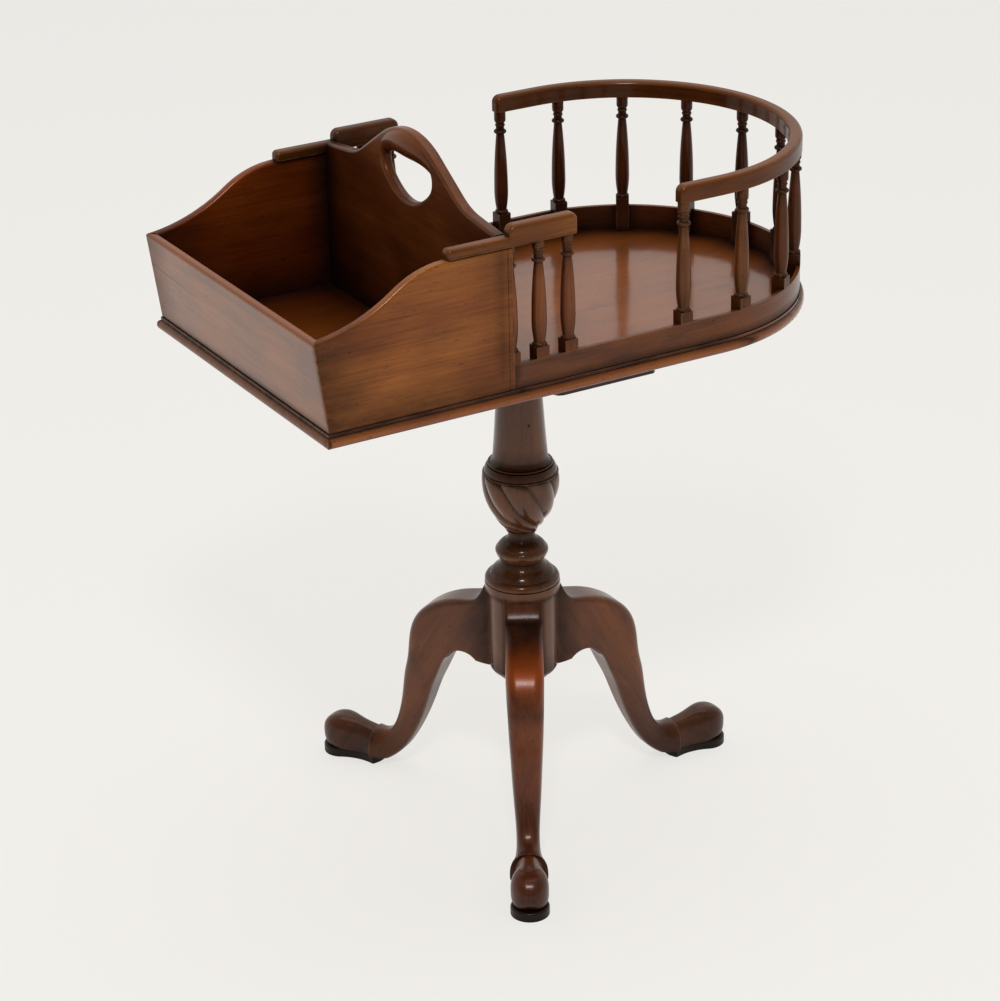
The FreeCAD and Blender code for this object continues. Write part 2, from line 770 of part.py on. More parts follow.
def make_gallery_rim():
    """Thin upstand round the gallery floor."""
    body = new_body("gallery_rim")
    plan = new_sketch(body, "Plan", "XY_Plane", dim("tray_floor"))
    draw_outline(plan, horseshoe(0, dim("rim_thickness"), -dim("divider_face")))
    pad(body, plan, dim("rim_height"))
    return body


def make_rim_seat():
    """What the rim and the space outside it take away from the spindle blocks."""
    body = new_body("rim_seat")
    plan = new_sketch(body, "Plan", "XY_Plane", dim("tray_floor"))
    spare = dim("block_height") / 2
    strip = horseshoe(-spare, dim("rim_thickness") + spare, -dim("divider_face") - spare)
    draw_outline(plan, strip)
    pad(body, plan, dim("rim_height"))
    return body


def make_gallery_rail():
    """Bent rail on top of the gallery spindles, centred on their line."""
    body = new_body("gallery_rail")
    underside = dim("tray_floor") + dim("gallery_height")
    inset = dim("spindle_inset") - dim("rail_width") / 2
    plan = new_sketch(body, "Plan", "XY_Plane", underside)
    draw_outline(plan, horseshoe(inset, dim("rail_width"), dim("gallery_rail_end")))
    pad(body, plan, dim("gallery_rail_depth"))
    top = (underside + dim("gallery_rail_depth")).number
    end = value("gallery_rail_end")
    round_edges(
        body, dim("cap_end_round"),
        lambda edge: at_height(edge, top) and edge.BoundBox.XMax < end + TOLERANCE,
    )
    round_edges(
        body, dim("rail_round"),
        lambda edge: at_height(edge, top) and edge.BoundBox.XLength > 1,
    )
    return body


def spindle_turning(height, collar):
    """Turned outline of a spindle above its square block, heights from the tray floor."""
    block = dim("block_height")
    waist = dim("waist_radius")
    neck = dim("neck_radius")
    top = dim("collar_radius")
    neck_top = height - collar
    bead_top = neck_top - dim("spindle_neck")
    bead_foot = bead_top - dim("bead_height")
    ring_foot = bead_top + dim("ring_rise")
    ring_top = ring_foot + dim("ring_height")
    return [
        (0, block),
        (waist + 1.3, block, 0.7),
        (waist, block + 3.4, 0),
        (waist, block + 4.4, 0.6),
        (dim("belly_radius"), block + 28, 0.7),
        (neck, bead_foot, dim("bead_swell").number),
        (neck + 0.2, bead_top, 0),
        (neck + 0.3, ring_foot, 0.7),
        (neck + 0.5, ring_top, 0),
        (neck + 0.6, neck_top),
        (top - 0.7, neck_top, 0.5),
        (top - 0.7, neck_top + 1.5),
        (top, neck_top + 2),
        (top, height),
        (0, height),
    ]


def make_spindle(label, x, y, azimuth, height, collar, half=False):
    """Turned spindle on a square block that is notched over the gallery rim."""
    place = Placement(Vector(x, y, value("tray_floor")), Rotation(Vector(0, 0, 1), azimuth))
    body = new_body(f"{label}_blank", place)
    outline = new_sketch(body, "Turning", "XZ_Plane")
    draw_outline(outline, spindle_turning(height, collar))
    revolve(body, outline, 180 if half else 360)
    reach = dim("spindle_inset")
    block = new_sketch(body, "Block", "XY_Plane")
    back = as_size(0) if half else -reach
    draw_outline(block, [(back, -reach), (reach, -reach), (reach, reach), (back, reach)])
    pad(body, block, dim("block_height"))
    return boolean("Part::Cut", label, body, rim_seat)


def gallery_place(run, radius, quarter):
    """Where a point lies on the spindle line, by its run from the far end of the curve."""
    if abs(run) <= quarter:
        angle = run / radius
        return (
            value("curve_center") + radius * math.cos(angle),
            radius * math.sin(angle),
            math.degrees(angle),
        )
    side = math.copysign(1, run)
    return value("curve_center") - (abs(run) - quarter), side * radius, side * 90


def make_gallery_spindles():
    """Spindles spread evenly from one free end of the rail to the other."""
    radius = value("tray_half_width") - value("spindle_inset")
    quarter = radius * math.pi / 2
    straight = value("curve_center") - value("gallery_rail_end") - value("rail_overhang")
    pitch = 2 * (quarter + straight) / (GALLERY_SPINDLES - 1)
    nodes = []
    for number in range(GALLERY_SPINDLES):
        run = (number - (GALLERY_SPINDLES - 1) / 2) * pitch
        x, y, azimuth = gallery_place(run, radius, quarter)
        height = dim("gallery_height")
        label = f"gallery_spindle_{number + 1}"
        nodes.append(make_spindle(label, x, y, azimuth, height, dim("gallery_collar")))
    return nodes


def make_low_spindles(name, side):
    """Three spindles under a cap rail; the first is a half one against the divider."""
    nodes = []
    for number in range(LOW_SPINDLES):
        x = -value("divider_face") + number * value("low_spindle_pitch")
        y = side * (value("tray_half_width") - value("spindle_inset"))
        label = f"low_spindle_{name}_{number + 1}"
        height = dim("panel_height")
        node = make_spindle(label, x, y, 0, height, dim("low_collar"), half=number == 0)
        nodes.append(node)
    return nodes


# ---------------------------------------------------------------- bearer and pillar

def bearer_underside():
    return dim("tray_floor") - dim("base_thickness") - dim("bearer_thickness")


def make_bearer():
    """Bearer across the underside of the tray, bevelled at its ends."""
    body = new_body("bearer_blank")
    under = bearer_underside()
    top = under + dim("bearer_thickness")
    reach = dim("tray_half_width") - dim("bearer_inset")
    flat = reach - dim("bevel_length")
    shoulder = under + dim("bevel_rise")
    profile = new_sketch(body, "Profile", "YZ_Plane")
    outline = [
        (-flat, under), (flat, under), (reach, shoulder), (reach, top), (-reach, top), (-reach, shoulder),
    ]
    draw_outline(profile, outline)
    pad(body, profile, dim("bearer_width"), midplane=True)
    doc.recompute()
    base = body.Tip
    corners = [
        f"Edge{number}" for number, edge in enumerate(base.Shape.Edges, 1)
        if edge.BoundBox.XLength < TOLERANCE and edge.BoundBox.YLength < TOLERANCE
    ]
    chamfer = body.newObject("PartDesign::Chamfer", "Corners")
    chamfer.Base = (base, corners)
    bind(chamfer, "Size", dim("bearer_corner"))
    mortise = new_sketch(body, "Mortise", "XY_Plane", top)
    draw_circle(mortise, 0, 0, dim("tenon_radius"))
    pocket(body, mortise, dim("bearer_thickness") + BEYOND)
    return body


def make_bearer_screws():
    """Four countersunk screws, flush under the bearer and biting into the base board."""
    under = bearer_underside().number
    head = value("screw_head_radius")
    shank = value("screw_shank_radius")
    length = value("bearer_thickness") + value("screw_bite")
    cone_height = head - shank
    screws = []
    for side_x in (-1, 1):
        for side_y in (-1, 1):
            foot = Vector(side_x * value("screw_place_x"), side_y * value("screw_place_y"), under)
            cone = Part.makeCone(head, shank, cone_height, foot)
            stem = Part.makeCylinder(shank, length, foot)
            screws.append(cone.fuse(stem).removeSplitter())
    return solid_feature("bearer_screws", Part.makeCompound(screws))


def named_outline(points):
    """An outline in which a word stands for the size of that name."""
    names = {item for point in points for item in point if isinstance(item, str)}
    sizes = {name: dim(name) for name in names - {"band_radius"}}
    sizes["band_radius"] = dim("hub_radius") + dim("band_reach")
    return [tuple(sizes.get(item, item) for item in point) for point in points]


def make_pillar_turning():
    """Everything of the pillar that is plain turning, with a tenon for the bearer."""
    body = new_body("pillar_turning")
    under = bearer_underside()
    tenon_top = under + dim("bearer_thickness")
    outline = new_sketch(body, "Turning", "XZ_Plane")
    points = named_outline(PILLAR_BASE + PILLAR_SHAFT)
    points += [
        (SHAFT_TOP_RADIUS, under),
        (dim("tenon_radius"), under),
        (dim("tenon_radius"), tenon_top),
        (0, tenon_top),
    ]
    draw_outline(outline, points)
    revolve(body, outline)
    return body


def bulb_radius_at(share):
    """Radius of the bulb at a share of its height: a full egg, narrow at the foot."""
    if share > BULB_WIDEST:
        return 1 - BULB_TUCK * ((share - BULB_WIDEST) / (1 - BULB_WIDEST)) ** 2
    return BULB_FOOT + (1 - BULB_FOOT) * (1 - (1 - share / BULB_WIDEST) ** BULB_FULLNESS)


def bulb_section(share, turn):
    """One level of the bulb: gadroons as equal arcs between their grooves."""
    radius = value("bulb_radius") * bulb_radius_at(share)
    groove = radius - value("gadroon_depth") * radius / value("bulb_radius")
    height = value("bulb_bottom") + share * (value("bulb_top") - value("bulb_bottom"))
    step = 360 / GADROONS

    def spot(reach, azimuth):
        angle = math.radians(azimuth)
        return Vector(reach * math.cos(angle), reach * math.sin(angle), height)

    arcs = []
    for number in range(GADROONS):
        start = turn + number * step
        arc = Part.Arc(spot(groove, start), spot(radius, start + step / 2), spot(groove, start + step))
        arcs.append(arc.toShape())
    return Part.Wire(arcs)


def gadroon_turn(share):
    """How far the gadroons have wound at a share of the bulb's height, from the top.

    They run down at an even slope and curl quickly together over the narrow foot.
    """
    depth = 1 - share
    return value("gadroon_twist") * ((1 - CURL_SHARE) * depth + CURL_SHARE * depth ** CURL_POWER)


def make_bulb():
    """Spiral gadrooned bulb, lofted through levels that crowd together at its foot."""
    levels = [(number / BULB_SECTIONS) ** 1.5 for number in range(BULB_SECTIONS, -1, -1)]
    sections = [bulb_section(level, value("gadroon_phase") + gadroon_turn(level)) for level in levels]
    return solid_feature("pillar_bulb", Part.makeLoft(sections, True, False))


# ---------------------------------------------------------------- legs and feet

def ball_station(angle):
    """A level of the round front of the foot, by its angle from the ball's middle."""
    turn = math.radians(angle)
    radius = value("leg_reach") - value("ball_bow") * (1 - math.sin(turn))
    middle = value("ball_height")
    top = middle + value("ball_rise") * math.cos(turn)
    bottom = middle - value("ball_rise") * math.cos(turn)
    half = value("ball_half_width") * math.cos(turn)
    return radius, top, radius, bottom, half, 0.18, 0.45, 0.48, 0.42


def leg_section(station):
    """One closed cross-section of a leg: flat sides, top and bottom, bowed corners."""
    top_r, top_z, bottom_r, bottom_z, half, top_flat, bottom_flat, top_turn, bottom_turn = station

    def place(across, down):
        radius = top_r + (bottom_r - top_r) * down
        height = top_z + (bottom_z - top_z) * down
        return Vector(radius, across * half, height)

    low = 1 - bottom_turn
    corners = [
        (place(-top_flat, 0), place(top_flat, 0), place(1, 0)),
        (place(1, top_turn), place(1, low), place(1, 1)),
        (place(bottom_flat, 1), place(-bottom_flat, 1), place(-1, 1)),
        (place(-1, low), place(-1, top_turn), place(-1, 0)),
    ]
    edges = []
    for number, (start, finish, bend) in enumerate(corners):
        following = corners[(number + 1) % 4][0]
        edges.append(Part.LineSegment(start, finish).toShape())
        curve = Part.BezierCurve()
        curve.setPoles([finish, bend, following])
        edges.append(curve.toShape())
    return Part.Wire(edges)


def fitted_stations(stations):
    """Stations stretched from the standard leg to the sizes in the sheet."""
    hub = value("hub_radius")
    reach = (value("leg_reach") - hub) / (STANDARD_REACH - hub)
    girth = value("leg_half_width") / SHANK_STATIONS[0][4]
    fitted = []
    for top_r, top_z, bottom_r, bottom_z, half, *corners in stations:
        top_r = max(top_r - hub, 0) * reach + min(top_r, hub)
        bottom_r = max(bottom_r - hub, 0) * reach + min(bottom_r, hub)
        fitted.append((top_r, top_z, bottom_r, bottom_z, half * girth, *corners))
    return fitted


def leg_solid():
    """The leg as it leaves the carver, before its foot and joint are cut."""
    shank = [leg_section(station) for station in fitted_stations(SHANK_STATIONS)]
    foot = [leg_section(station) for station in fitted_stations(FOOT_STATIONS)]
    foot += [leg_section(ball_station(angle)) for angle in BALL_ANGLES]
    return Part.makeLoft(shank, True, False).fuse(Part.makeLoft(foot, True, False))


def arch_cutter():
    """Prism that cuts the cusped arch under the knee, beside the hub."""
    width = value("leg_half_width") * 4
    lobe_start, lobe_low, cusp, crown, arch_end = (Vector(x, 0, z) for x, z in ARCH)
    low_end = Vector(arch_end.x, 0, cusp.z - 2 * BEYOND)
    low_start = Vector(lobe_start.x, 0, low_end.z)
    edges = [
        Part.Arc(lobe_start, lobe_low, cusp).toShape(),
        Part.Arc(cusp, crown, arch_end).toShape(),
        Part.LineSegment(arch_end, low_end).toShape(),
        Part.LineSegment(low_end, low_start).toShape(),
        Part.LineSegment(low_start, lobe_start).toShape(),
    ]
    face = Part.Face(Part.Wire(edges))
    face.translate(Vector(0, -width / 2, 0))
    return face.extrude(Vector(0, width, 0))


def key_solid(spare=0):
    """Dovetail key of a leg, long enough to run out under the hub."""
    root = value("key_root")
    head = value("key_head")
    outer = value("hub_radius")
    inner = outer - value("key_depth")
    flare = (head - root) / value("key_depth")
    bottom = value("hub_bottom") - BEYOND
    corners = [
        Vector(inner, -head, bottom),
        Vector(outer + spare, -(root - flare * spare), bottom),
        Vector(outer + spare, root - flare * spare, bottom),
        Vector(inner, head, bottom),
    ]
    face = Part.Face(Part.makePolygon(corners + corners[:1]))
    return face.extrude(Vector(0, 0, value("key_top") - bottom))


def make_leg(number, azimuth, turning):
    """Leg scribed to the turned hub, with its dovetail key; the key also cuts the pillar."""
    place = turned_about_pillar(azimuth)
    carved = solid_feature(f"leg_{number}_carved", leg_solid(), place)
    arch = solid_feature(f"leg_{number}_arch", arch_cutter(), place)
    below = doc.addObject("Part::Box", f"leg_{number}_below")
    size = value("leg_reach") * 4
    below.Length = size
    below.Width = size
    bind(below, "Height", dim("pad_thickness") + BEYOND)
    below.Placement = Placement(Vector(-size / 2, -size / 2, -BEYOND), Rotation())
    arched = boolean("Part::Cut", f"leg_{number}_arched", carved, arch)
    footed = boolean("Part::Cut", f"leg_{number}_footed", arched, below)
    seated = boolean("Part::Cut", f"leg_{number}_seated", footed, turning)
    prism = solid_feature(f"leg_{number}_prism", key_solid(), place)
    key = boolean("Part::Common", f"leg_{number}_key", prism, turning)
    return boolean("Part::Fuse", f"leg_{number}", seated, key), prism


def make_foot_pad(number, azimuth):
    """Flat shoe under a foot: a round front, a waist and a slightly bowed heel."""
    body = new_body(f"foot_pad_{number}", turned_about_pillar(azimuth))
    heel_x = dim("heel_start") + dim("heel_bow")
    neck_x = dim("leg_reach") - dim("ball_length")
    heel_y = dim("heel_half_width")
    neck_y = dim("neck_half_width")
    plan = new_sketch(body, "Plan", "XY_Plane")
    waist = -value("waist_hollow")
    outline = [
        (heel_x, -heel_y, waist),
        (neck_x, -neck_y, value("ball_length")),
        (neck_x, neck_y, waist),
        (heel_x, heel_y, value("heel_bow")),
    ]
    draw_outline(plan, outline)
    pad(body, plan, dim("pad_thickness"))
    top = value("pad_thickness")
    round_edges(body, dim("pad_round"), lambda edge: at_height(edge, top))
    return body


# ---------------------------------------------------------------- the whole table

def check_document():
    """Stop if any object failed or any shape is unsound."""
    failed = [item for item in doc.Objects if "Invalid" in item.State or "Error" in item.State]
    if failed:
        names = ", ".join(f"{item.Label} in {item.getParent() or 'the document'}" for item in failed)
        raise RuntimeError(f"failed: {names}")


def write_nodes(nodes):
    os.makedirs("parts", exist_ok=True)
    for node in nodes:
        if node.Shape.isNull() or not node.Shape.isValid():
            raise RuntimeError(f"{node.Label} has no sound shape")
    for node in nodes:
        node.Shape.exportStep(f"parts/{node.Label}.step")
        print(f"{node.Label}: {len(node.Shape.Solids)} solid(s), {node.Shape.Volume:.0f} mm3")


doc = FreeCAD.newDocument("TeaTable")
sheet = doc.addObject("Spreadsheet::Sheet", "Dimensions")
make_sheet()

screws = make_bearer_screws()
base_board = boolean("Part::Cut", "base_board", make_base_board(), screws)
bearer = boolean("Part::Cut", "bearer", make_bearer(), screws)
gallery_rim = make_gallery_rim()
rim_seat = make_rim_seat()
tray = [
    base_board,
    make_end_board(),
    make_side_panel("side_panel_front", -1),
    make_side_panel("side_panel_back", 1),
    make_divider_board(),
    make_cap_rail("cap_rail_front", -1),
    make_cap_rail("cap_rail_back", 1),
    gallery_rim,
    make_gallery_rail(),
]
spindles = make_gallery_spindles() + make_low_spindles("front", -1) + make_low_spindles("back", 1)

turning = make_pillar_turning()
pillar = boolean("Part::Fuse", "pillar_blank", turning, make_bulb())
legs = []
pads = []
for number, azimuth in enumerate(LEG_AZIMUTHS, 1):
    leg, prism = make_leg(number, azimuth, turning)
    legs.append(leg)
    pads.append(make_foot_pad(number, azimuth))
    label = "pillar" if number == len(LEG_AZIMUTHS) else f"pillar_socket_{number}"
    pillar = boolean("Part::Cut", label, pillar, prism)

doc.recompute()
check_document()
write_nodes(tray + spindles + [bearer, screws, pillar] + legs + pads)
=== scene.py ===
import math

import bpy
import numpy as np
from mathutils import Matrix, Vector

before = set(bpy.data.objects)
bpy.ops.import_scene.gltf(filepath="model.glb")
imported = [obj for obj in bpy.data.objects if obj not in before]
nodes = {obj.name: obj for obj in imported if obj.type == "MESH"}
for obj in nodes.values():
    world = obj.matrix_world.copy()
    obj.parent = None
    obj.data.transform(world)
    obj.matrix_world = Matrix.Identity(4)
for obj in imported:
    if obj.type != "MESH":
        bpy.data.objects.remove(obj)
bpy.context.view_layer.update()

# ---------------------------------------------------------------- base board
# A D-shaped mahogany board, 14 mm thick, with its grain along the table.  Its top is
# the floor of the box and of the plate gallery, French polished and worn orange.
# The rounded nose runs round the edge, with a small step on top of it full of old wax.

UP, ALONG, ACROSS = (0, 0, 1), (1, 0, 0), (0, 1, 0)
# Levels and faces of the board, in millimetres.
TRAY_FLOOR = 548.5
STEP_QUIRK = 545.5
BOARD_UNDERSIDE = 534.5
NOSE_END, STEP_END = -305.5, -302.4
STEP_SIDE = 176.7
# Soot has settled into the corners between the boards of the tray, and painted shade darkens them
# deep inside.
BOARD_SOOT_AND_SHADE = {"soot_and_shade": 1.0, "soot_and_shade_reach": 26.0, "soot_and_shade_full": 0.6}


def linear(colour):
    """An sRGB hex colour as the linear RGBA values that the shaders use."""
    parts = [int(colour[place:place + 2], 16) / 255 for place in (1, 3, 5)]
    return [p / 12.92 if p <= 0.04045 else ((p + 0.055) / 1.055) ** 2.4 for p in parts] + [1.0]


def add_node(tree, kind, inputs=None, **settings):
    """Add a shader node with its settings, and set or link each of its inputs.

    An input is given by its name or number, as a plain value, an output, or a node.  A
    node stands for the first of its outputs that its settings leave in use.  A colour
    Mix has its factor at 0 and its two colours at 6 and 7.
    """
    node = tree.nodes.new("ShaderNode" + kind)
    for name, setting in settings.items():
        setattr(node, name, setting)
    for name, source in (inputs or {}).items():
        if isinstance(source, bpy.types.Node):
            source = next(output for output in source.outputs if output.enabled)
        if isinstance(source, bpy.types.NodeSocket):
            tree.links.new(source, node.inputs[name])
        else:
            node.inputs[name].default_value = source
    return node


def sawn_grain(direction):
    """Coordinates of straight-grained wood: X runs along the given direction."""
    turn = Vector(direction).rotation_difference(Vector((1, 0, 0))).to_euler()

    def coordinates(tree):
        place = add_node(tree, "TexCoord").outputs["Object"]
        return add_node(tree, "Mapping", {"Vector": place, "Rotation": turn})

    return coordinates


def polished_mahogany(name, grain, dark, mid, light, ribbon=0.5, soot_and_shade=0.75, soot_and_shade_reach=14.0,
                      soot_and_shade_full=0.45, wear=0.5, polish=0.16, gloss=0.85, satin=0.3, shade=0.6,
                      smoke=0.4, shift=0.0, seams=(), rubs_and_sheens=(), rub_and_sheen_colour="#8A4A20", spots=()):
    """French-polished mahogany, old and waxed.

    The eye sees a clear gloss over a satin, orange-brown ground: wide light and dark
    ribbons along the grain, fine fibre streaks, short dark pores, smoky patches, sooty wax
    gathered in every corner and darkened further there by painted shade, and paler wood
    where hands and cloths rub the edges.
    Satin is the share of its light that the figured wood sends back as a sheen of its own
    colour.  Where neighbours shade the wood, its colour is painted darker as painted shade:
    shade says how much.  Seams, and the planes given as rubs, are (normal, offset, reach,
    strength) in millimetres: planes that dirt, and on some pieces painted shade, creep out
    from; and planes that hands have rubbed warm and dull, together with painted sheens laid
    the same way.  Spots are (point, radius) in millimetres: knots and pegs that have gone
    black.
    """
    material = bpy.data.materials.new(name)
    material.use_nodes = True
    tree = material.node_tree
    tree.nodes.clear()
    place = grain(tree)
    point = add_node(tree, "TexCoord").outputs["Object"]

    def marks(along, across, detail, low, high, least=0.0, roughness=0.55, push=0.0):
        """Cloudy marks, so many millimetres along and across the grain, from least to 1."""
        spread = add_node(tree, "Mapping", {
            "Vector": place, "Location": (shift + push, shift, push),
            "Scale": (1000 / along, 1000 / across, 1000 / across),
        })
        noise = add_node(tree, "TexNoise", {
            "Vector": spread, "Scale": 1.0, "Detail": detail, "Roughness": roughness,
        })
        return add_node(tree, "MapRange", {
            "Value": noise, "From Min": low, "From Max": high, "To Min": least, "To Max": 1.0,
        })

    def near(normal, offset, reach, strength):
        """A plane's own strength on it, fading away to nothing at its reach."""
        height = add_node(tree, "VectorMath", {0: point, 1: normal}, operation="DOT_PRODUCT")
        above = add_node(tree, "Math", {0: height, 1: offset / 1000}, operation="SUBTRACT")
        away = add_node(tree, "Math", {0: above}, operation="ABSOLUTE")
        return add_node(tree, "MapRange", {
            "Value": away, "From Min": reach / 1000, "From Max": 0.0, "To Max": strength,
        })

    def strongest(*covers):
        """The strongest of several covers, each times its share."""
        most = 0.0
        for cover, share in covers:
            part = add_node(tree, "Math", {0: cover, 1: share}, operation="MULTIPLY")
            most = add_node(tree, "Math", {0: most, 1: part}, operation="MAXIMUM")
        return most

    def layer_colour(ground, over, cover, share=1.0):
        """A ground colour with another laid over it: the cover times its share says where."""
        strength = add_node(tree, "Math", {0: cover, 1: share}, operation="MULTIPLY")
        return add_node(tree, "Mix", {0: strength, 6: ground, 7: over}, data_type="RGBA")

    # Ribbons 14 mm wide, fibre streaks 2.4 mm and 1.2 mm wide, patina in patches of
    # 120 by 60 mm, and a smoky haze in patches of 75 by 26 mm.
    stripes = marks(300, 14, 2.0, 0.30, 0.70)
    fibre = marks(80, 2.4, 3.0, 0.25, 0.75, roughness=0.6, push=4.0)
    thread = marks(46, 1.2, 1.0, 0.25, 0.75, push=5.0)
    patina = marks(120, 60, 2.0, 0.32, 0.68, push=9.0)
    haze = marks(75, 26, 3.0, 0.50, 0.78, roughness=0.6, push=13.0)
    # Pores are 0.3 mm wide in the wood; they are drawn 0.8 mm wide so that they show.
    # Nicks are the few short dents that wax has filled.
    pores = marks(9, 0.8, 1.0, 0.62, 0.76, push=2.0)
    nicks = marks(7, 3.5, 1.0, 0.71, 0.76, push=19.0)

    figure = 0.0
    for streaks, share in ((stripes, ribbon), (fibre, 0.7 - 0.5 * ribbon),
                           (thread, 0.3 - 0.2 * ribbon)):
        figure = add_node(tree, "Math", {0: streaks, 1: share, 2: figure},
                          operation="MULTIPLY_ADD", use_clamp=True)
    colour = layer_colour(linear(dark), linear(mid), figure)
    colour = layer_colour(colour, layer_colour(linear(mid), linear(light), figure), patina, 0.8)
    colour = layer_colour(colour, linear("#2A150B"), haze, smoke)
    colour = layer_colour(colour, linear("#1C0E08"), strongest((pores, 0.35), (nicks, 0.55)))

    # Painted shade: wood that stands in the shade of its neighbours within 120 mm is painted
    # darker.
    covered = add_node(tree, "AmbientOcclusion", {"Distance": 0.12}, samples=5)
    painted_shade = add_node(tree, "MapRange", {
        "Value": covered.outputs["AO"], "From Min": 0.95, "From Max": 0.35, "To Max": shade,
    })
    colour = add_node(tree, "Mix", {0: painted_shade, 6: colour, 7: linear("#6E3422")},
                      data_type="RGBA", blend_type="MULTIPLY")

    # Soot and wax, with painted shade: whatever is close in front darkens the corner, in blotches.
    corner = add_node(tree, "AmbientOcclusion", {"Distance": soot_and_shade_reach / 1000}, samples=5)
    grime_and_shade = add_node(tree, "MapRange", {
        "Value": corner.outputs["AO"], "From Min": 0.96, "From Max": soot_and_shade_full, "To Max": soot_and_shade,
    })
    for seam in seams:
        grime_and_shade = add_node(tree, "Math", {0: grime_and_shade, 1: near(*seam)}, operation="MAXIMUM")
    blotch = marks(22, 9, 2.0, 0.25, 0.75, least=0.65, push=6.0)
    grime_and_shade = add_node(tree, "Math", {0: grime_and_shade, 1: blotch}, operation="MULTIPLY")
    for centre, radius in spots:
        middle = tuple(c / 1000 for c in centre)
        apart = add_node(tree, "VectorMath", {0: point, 1: middle}, operation="DISTANCE")
        spot = add_node(tree, "MapRange", {
            "Value": apart, "From Min": radius / 1000, "From Max": 0.6 * radius / 1000,
            "To Max": 0.9,
        })
        grime_and_shade = add_node(tree, "Math", {0: grime_and_shade, 1: spot}, operation="MAXIMUM")

    # Hands keep the places that they rub warm, dull and free of dirt; the painted sheens on some of
    # these planes are laid the same way, lifting the painted shade there.
    rubbed_and_sheen = strongest(*((near(*rub), 1.0) for rub in rubs_and_sheens))
    clean_and_lit = add_node(tree, "MapRange", {"Value": rubbed_and_sheen, "To Min": 1.0, "To Max": 0.15})
    grime_and_shade = add_node(tree, "Math", {0: grime_and_shade, 1: clean_and_lit}, operation="MULTIPLY")
    # The rubbed wear and the painted sheens are laid on here.
    colour = layer_colour(colour, linear(rub_and_sheen_colour), rubbed_and_sheen)
    # Soot, wax and painted shade darken the colour here.
    colour = layer_colour(colour, linear("#140B07"), grime_and_shade)

    # Rubbed edges: where the surface turns sharply within 2 mm and nothing shades it.
    turned = add_node(tree, "Bevel", {"Radius": 0.0022}, samples=4)
    facing = add_node(tree, "NewGeometry").outputs["Normal"]
    same = add_node(tree, "VectorMath", {0: turned, 1: facing}, operation="DOT_PRODUCT")
    rubbed = add_node(tree, "MapRange", {
        "Value": same, "From Min": 0.99, "From Max": 0.86, "To Max": wear,
    })
    bare = add_node(tree, "MapRange", {
        "Value": corner.outputs["AO"], "From Min": 0.80, "From Max": 0.97,
    })
    for share in (bare, marks(18, 6, 2.0, 0.3, 0.6, push=3.0)):
        rubbed = add_node(tree, "Math", {0: rubbed, 1: share}, operation="MULTIPLY")
    colour = layer_colour(colour, linear("#9C683E"), rubbed)

    # Fibres stand up and pores sink in by 0.1 mm; the polish over them is only wavy.
    raised = add_node(tree, "Math", {0: fibre, 1: 0.35}, operation="MULTIPLY")
    relief = add_node(tree, "Math", {0: pores, 1: -0.5, 2: raised},
                      operation="MULTIPLY_ADD", use_clamp=True)
    bump = add_node(tree, "Bump", {"Strength": 0.25, "Distance": 0.0001, "Height": relief})
    waves = marks(26, 16, 2.0, 0.0, 1.0, push=7.0)
    dents = add_node(tree, "Bump", {
        "Strength": 0.30, "Distance": 0.0004, "Height": waves, "Normal": bump,
    })
    matt = add_node(tree, "MapRange", {"Value": patina, "To Min": 0.40, "To Max": 0.48})
    rough = add_node(tree, "Math", {0: grime_and_shade, 1: 0.25, 2: matt},
                     operation="MULTIPLY_ADD", use_clamp=True)
    clear = add_node(tree, "MapRange", {
        "Value": strongest((grime_and_shade, 0.8), (rubbed, 0.8), (rubbed_and_sheen, 0.6)),
        "To Min": gloss, "To Max": 0.0,
    })
    shader = add_node(tree, "BsdfPrincipled", {
        "Base Color": colour, "Roughness": rough, "IOR": 1.4, "Metallic": satin,
        "Specular IOR Level": 0.1, "Normal": bump,
        "Coat Weight": clear, "Coat Roughness": polish, "Coat IOR": 1.42, "Coat Normal": dents,
    })
    add_node(tree, "OutputMaterial", {"Surface": shader})
    return material


def finish(piece, material):
    """Give a piece of the frame its finish in place of the plain one."""
    piece.data.materials.clear()
    piece.data.materials.append(material)


finish(nodes["base_board"], polished_mahogany(
    "base board mahogany", sawn_grain(ALONG), "#7C3E10", "#8E4A12", "#A45C1E",
    ribbon=0.25, polish=0.12, gloss=1.0, satin=0.4, wear=0.6, shade=1.0, smoke=0.3,
    seams=[(UP, STEP_QUIRK, 2.4, 1.0), (UP, BOARD_UNDERSIDE, 4.0, 0.7),
           (ALONG, NOSE_END, 5.0, 0.5), (ALONG, STEP_END, 3.0, 1.0),
           (ACROSS, -STEP_SIDE, 2.8, 1.0), (ACROSS, STEP_SIDE, 2.8, 1.0)],
    **BOARD_SOOT_AND_SHADE,
))

# ---------------------------------------------------------------- end board
# A canted board across the square end, mitred into the two side panels, grain level.
# A fine split has opened in its outer face and wandered along the grain.

END_TOP = 637.5
MITRE = 175.5

finish(nodes["end_board"], polished_mahogany(
    "end board mahogany", sawn_grain(ACROSS), "#54270E", "#8C5022", "#B27038",
    ribbon=0.4, polish=0.20, gloss=0.95, satin=0.4, shift=3.0, shade=0.95, smoke=0.45,
    seams=[(UP, TRAY_FLOOR, 7.0, 0.9), (ACROSS, -MITRE, 6.0, 0.6), (ACROSS, MITRE, 45.0, 0.6)],
    rubs_and_sheens=[(UP, END_TOP, 4.5, 0.8)],
    **BOARD_SOOT_AND_SHADE,
))

# The split runs from the back mitre towards the middle, closing as it goes.  In metres:
# its height at SPLIT_TIP, its rise for each metre of Y, its wander and half its width.
SPLIT_HEIGHT, SPLIT_RISE = 0.6006, 0.044
SPLIT_WANDER, SPLIT_HALF = 0.003, 0.0007
SPLIT_TIP, SPLIT_WIDE = 0.060, 0.130
OUTER_FACE = -0.304

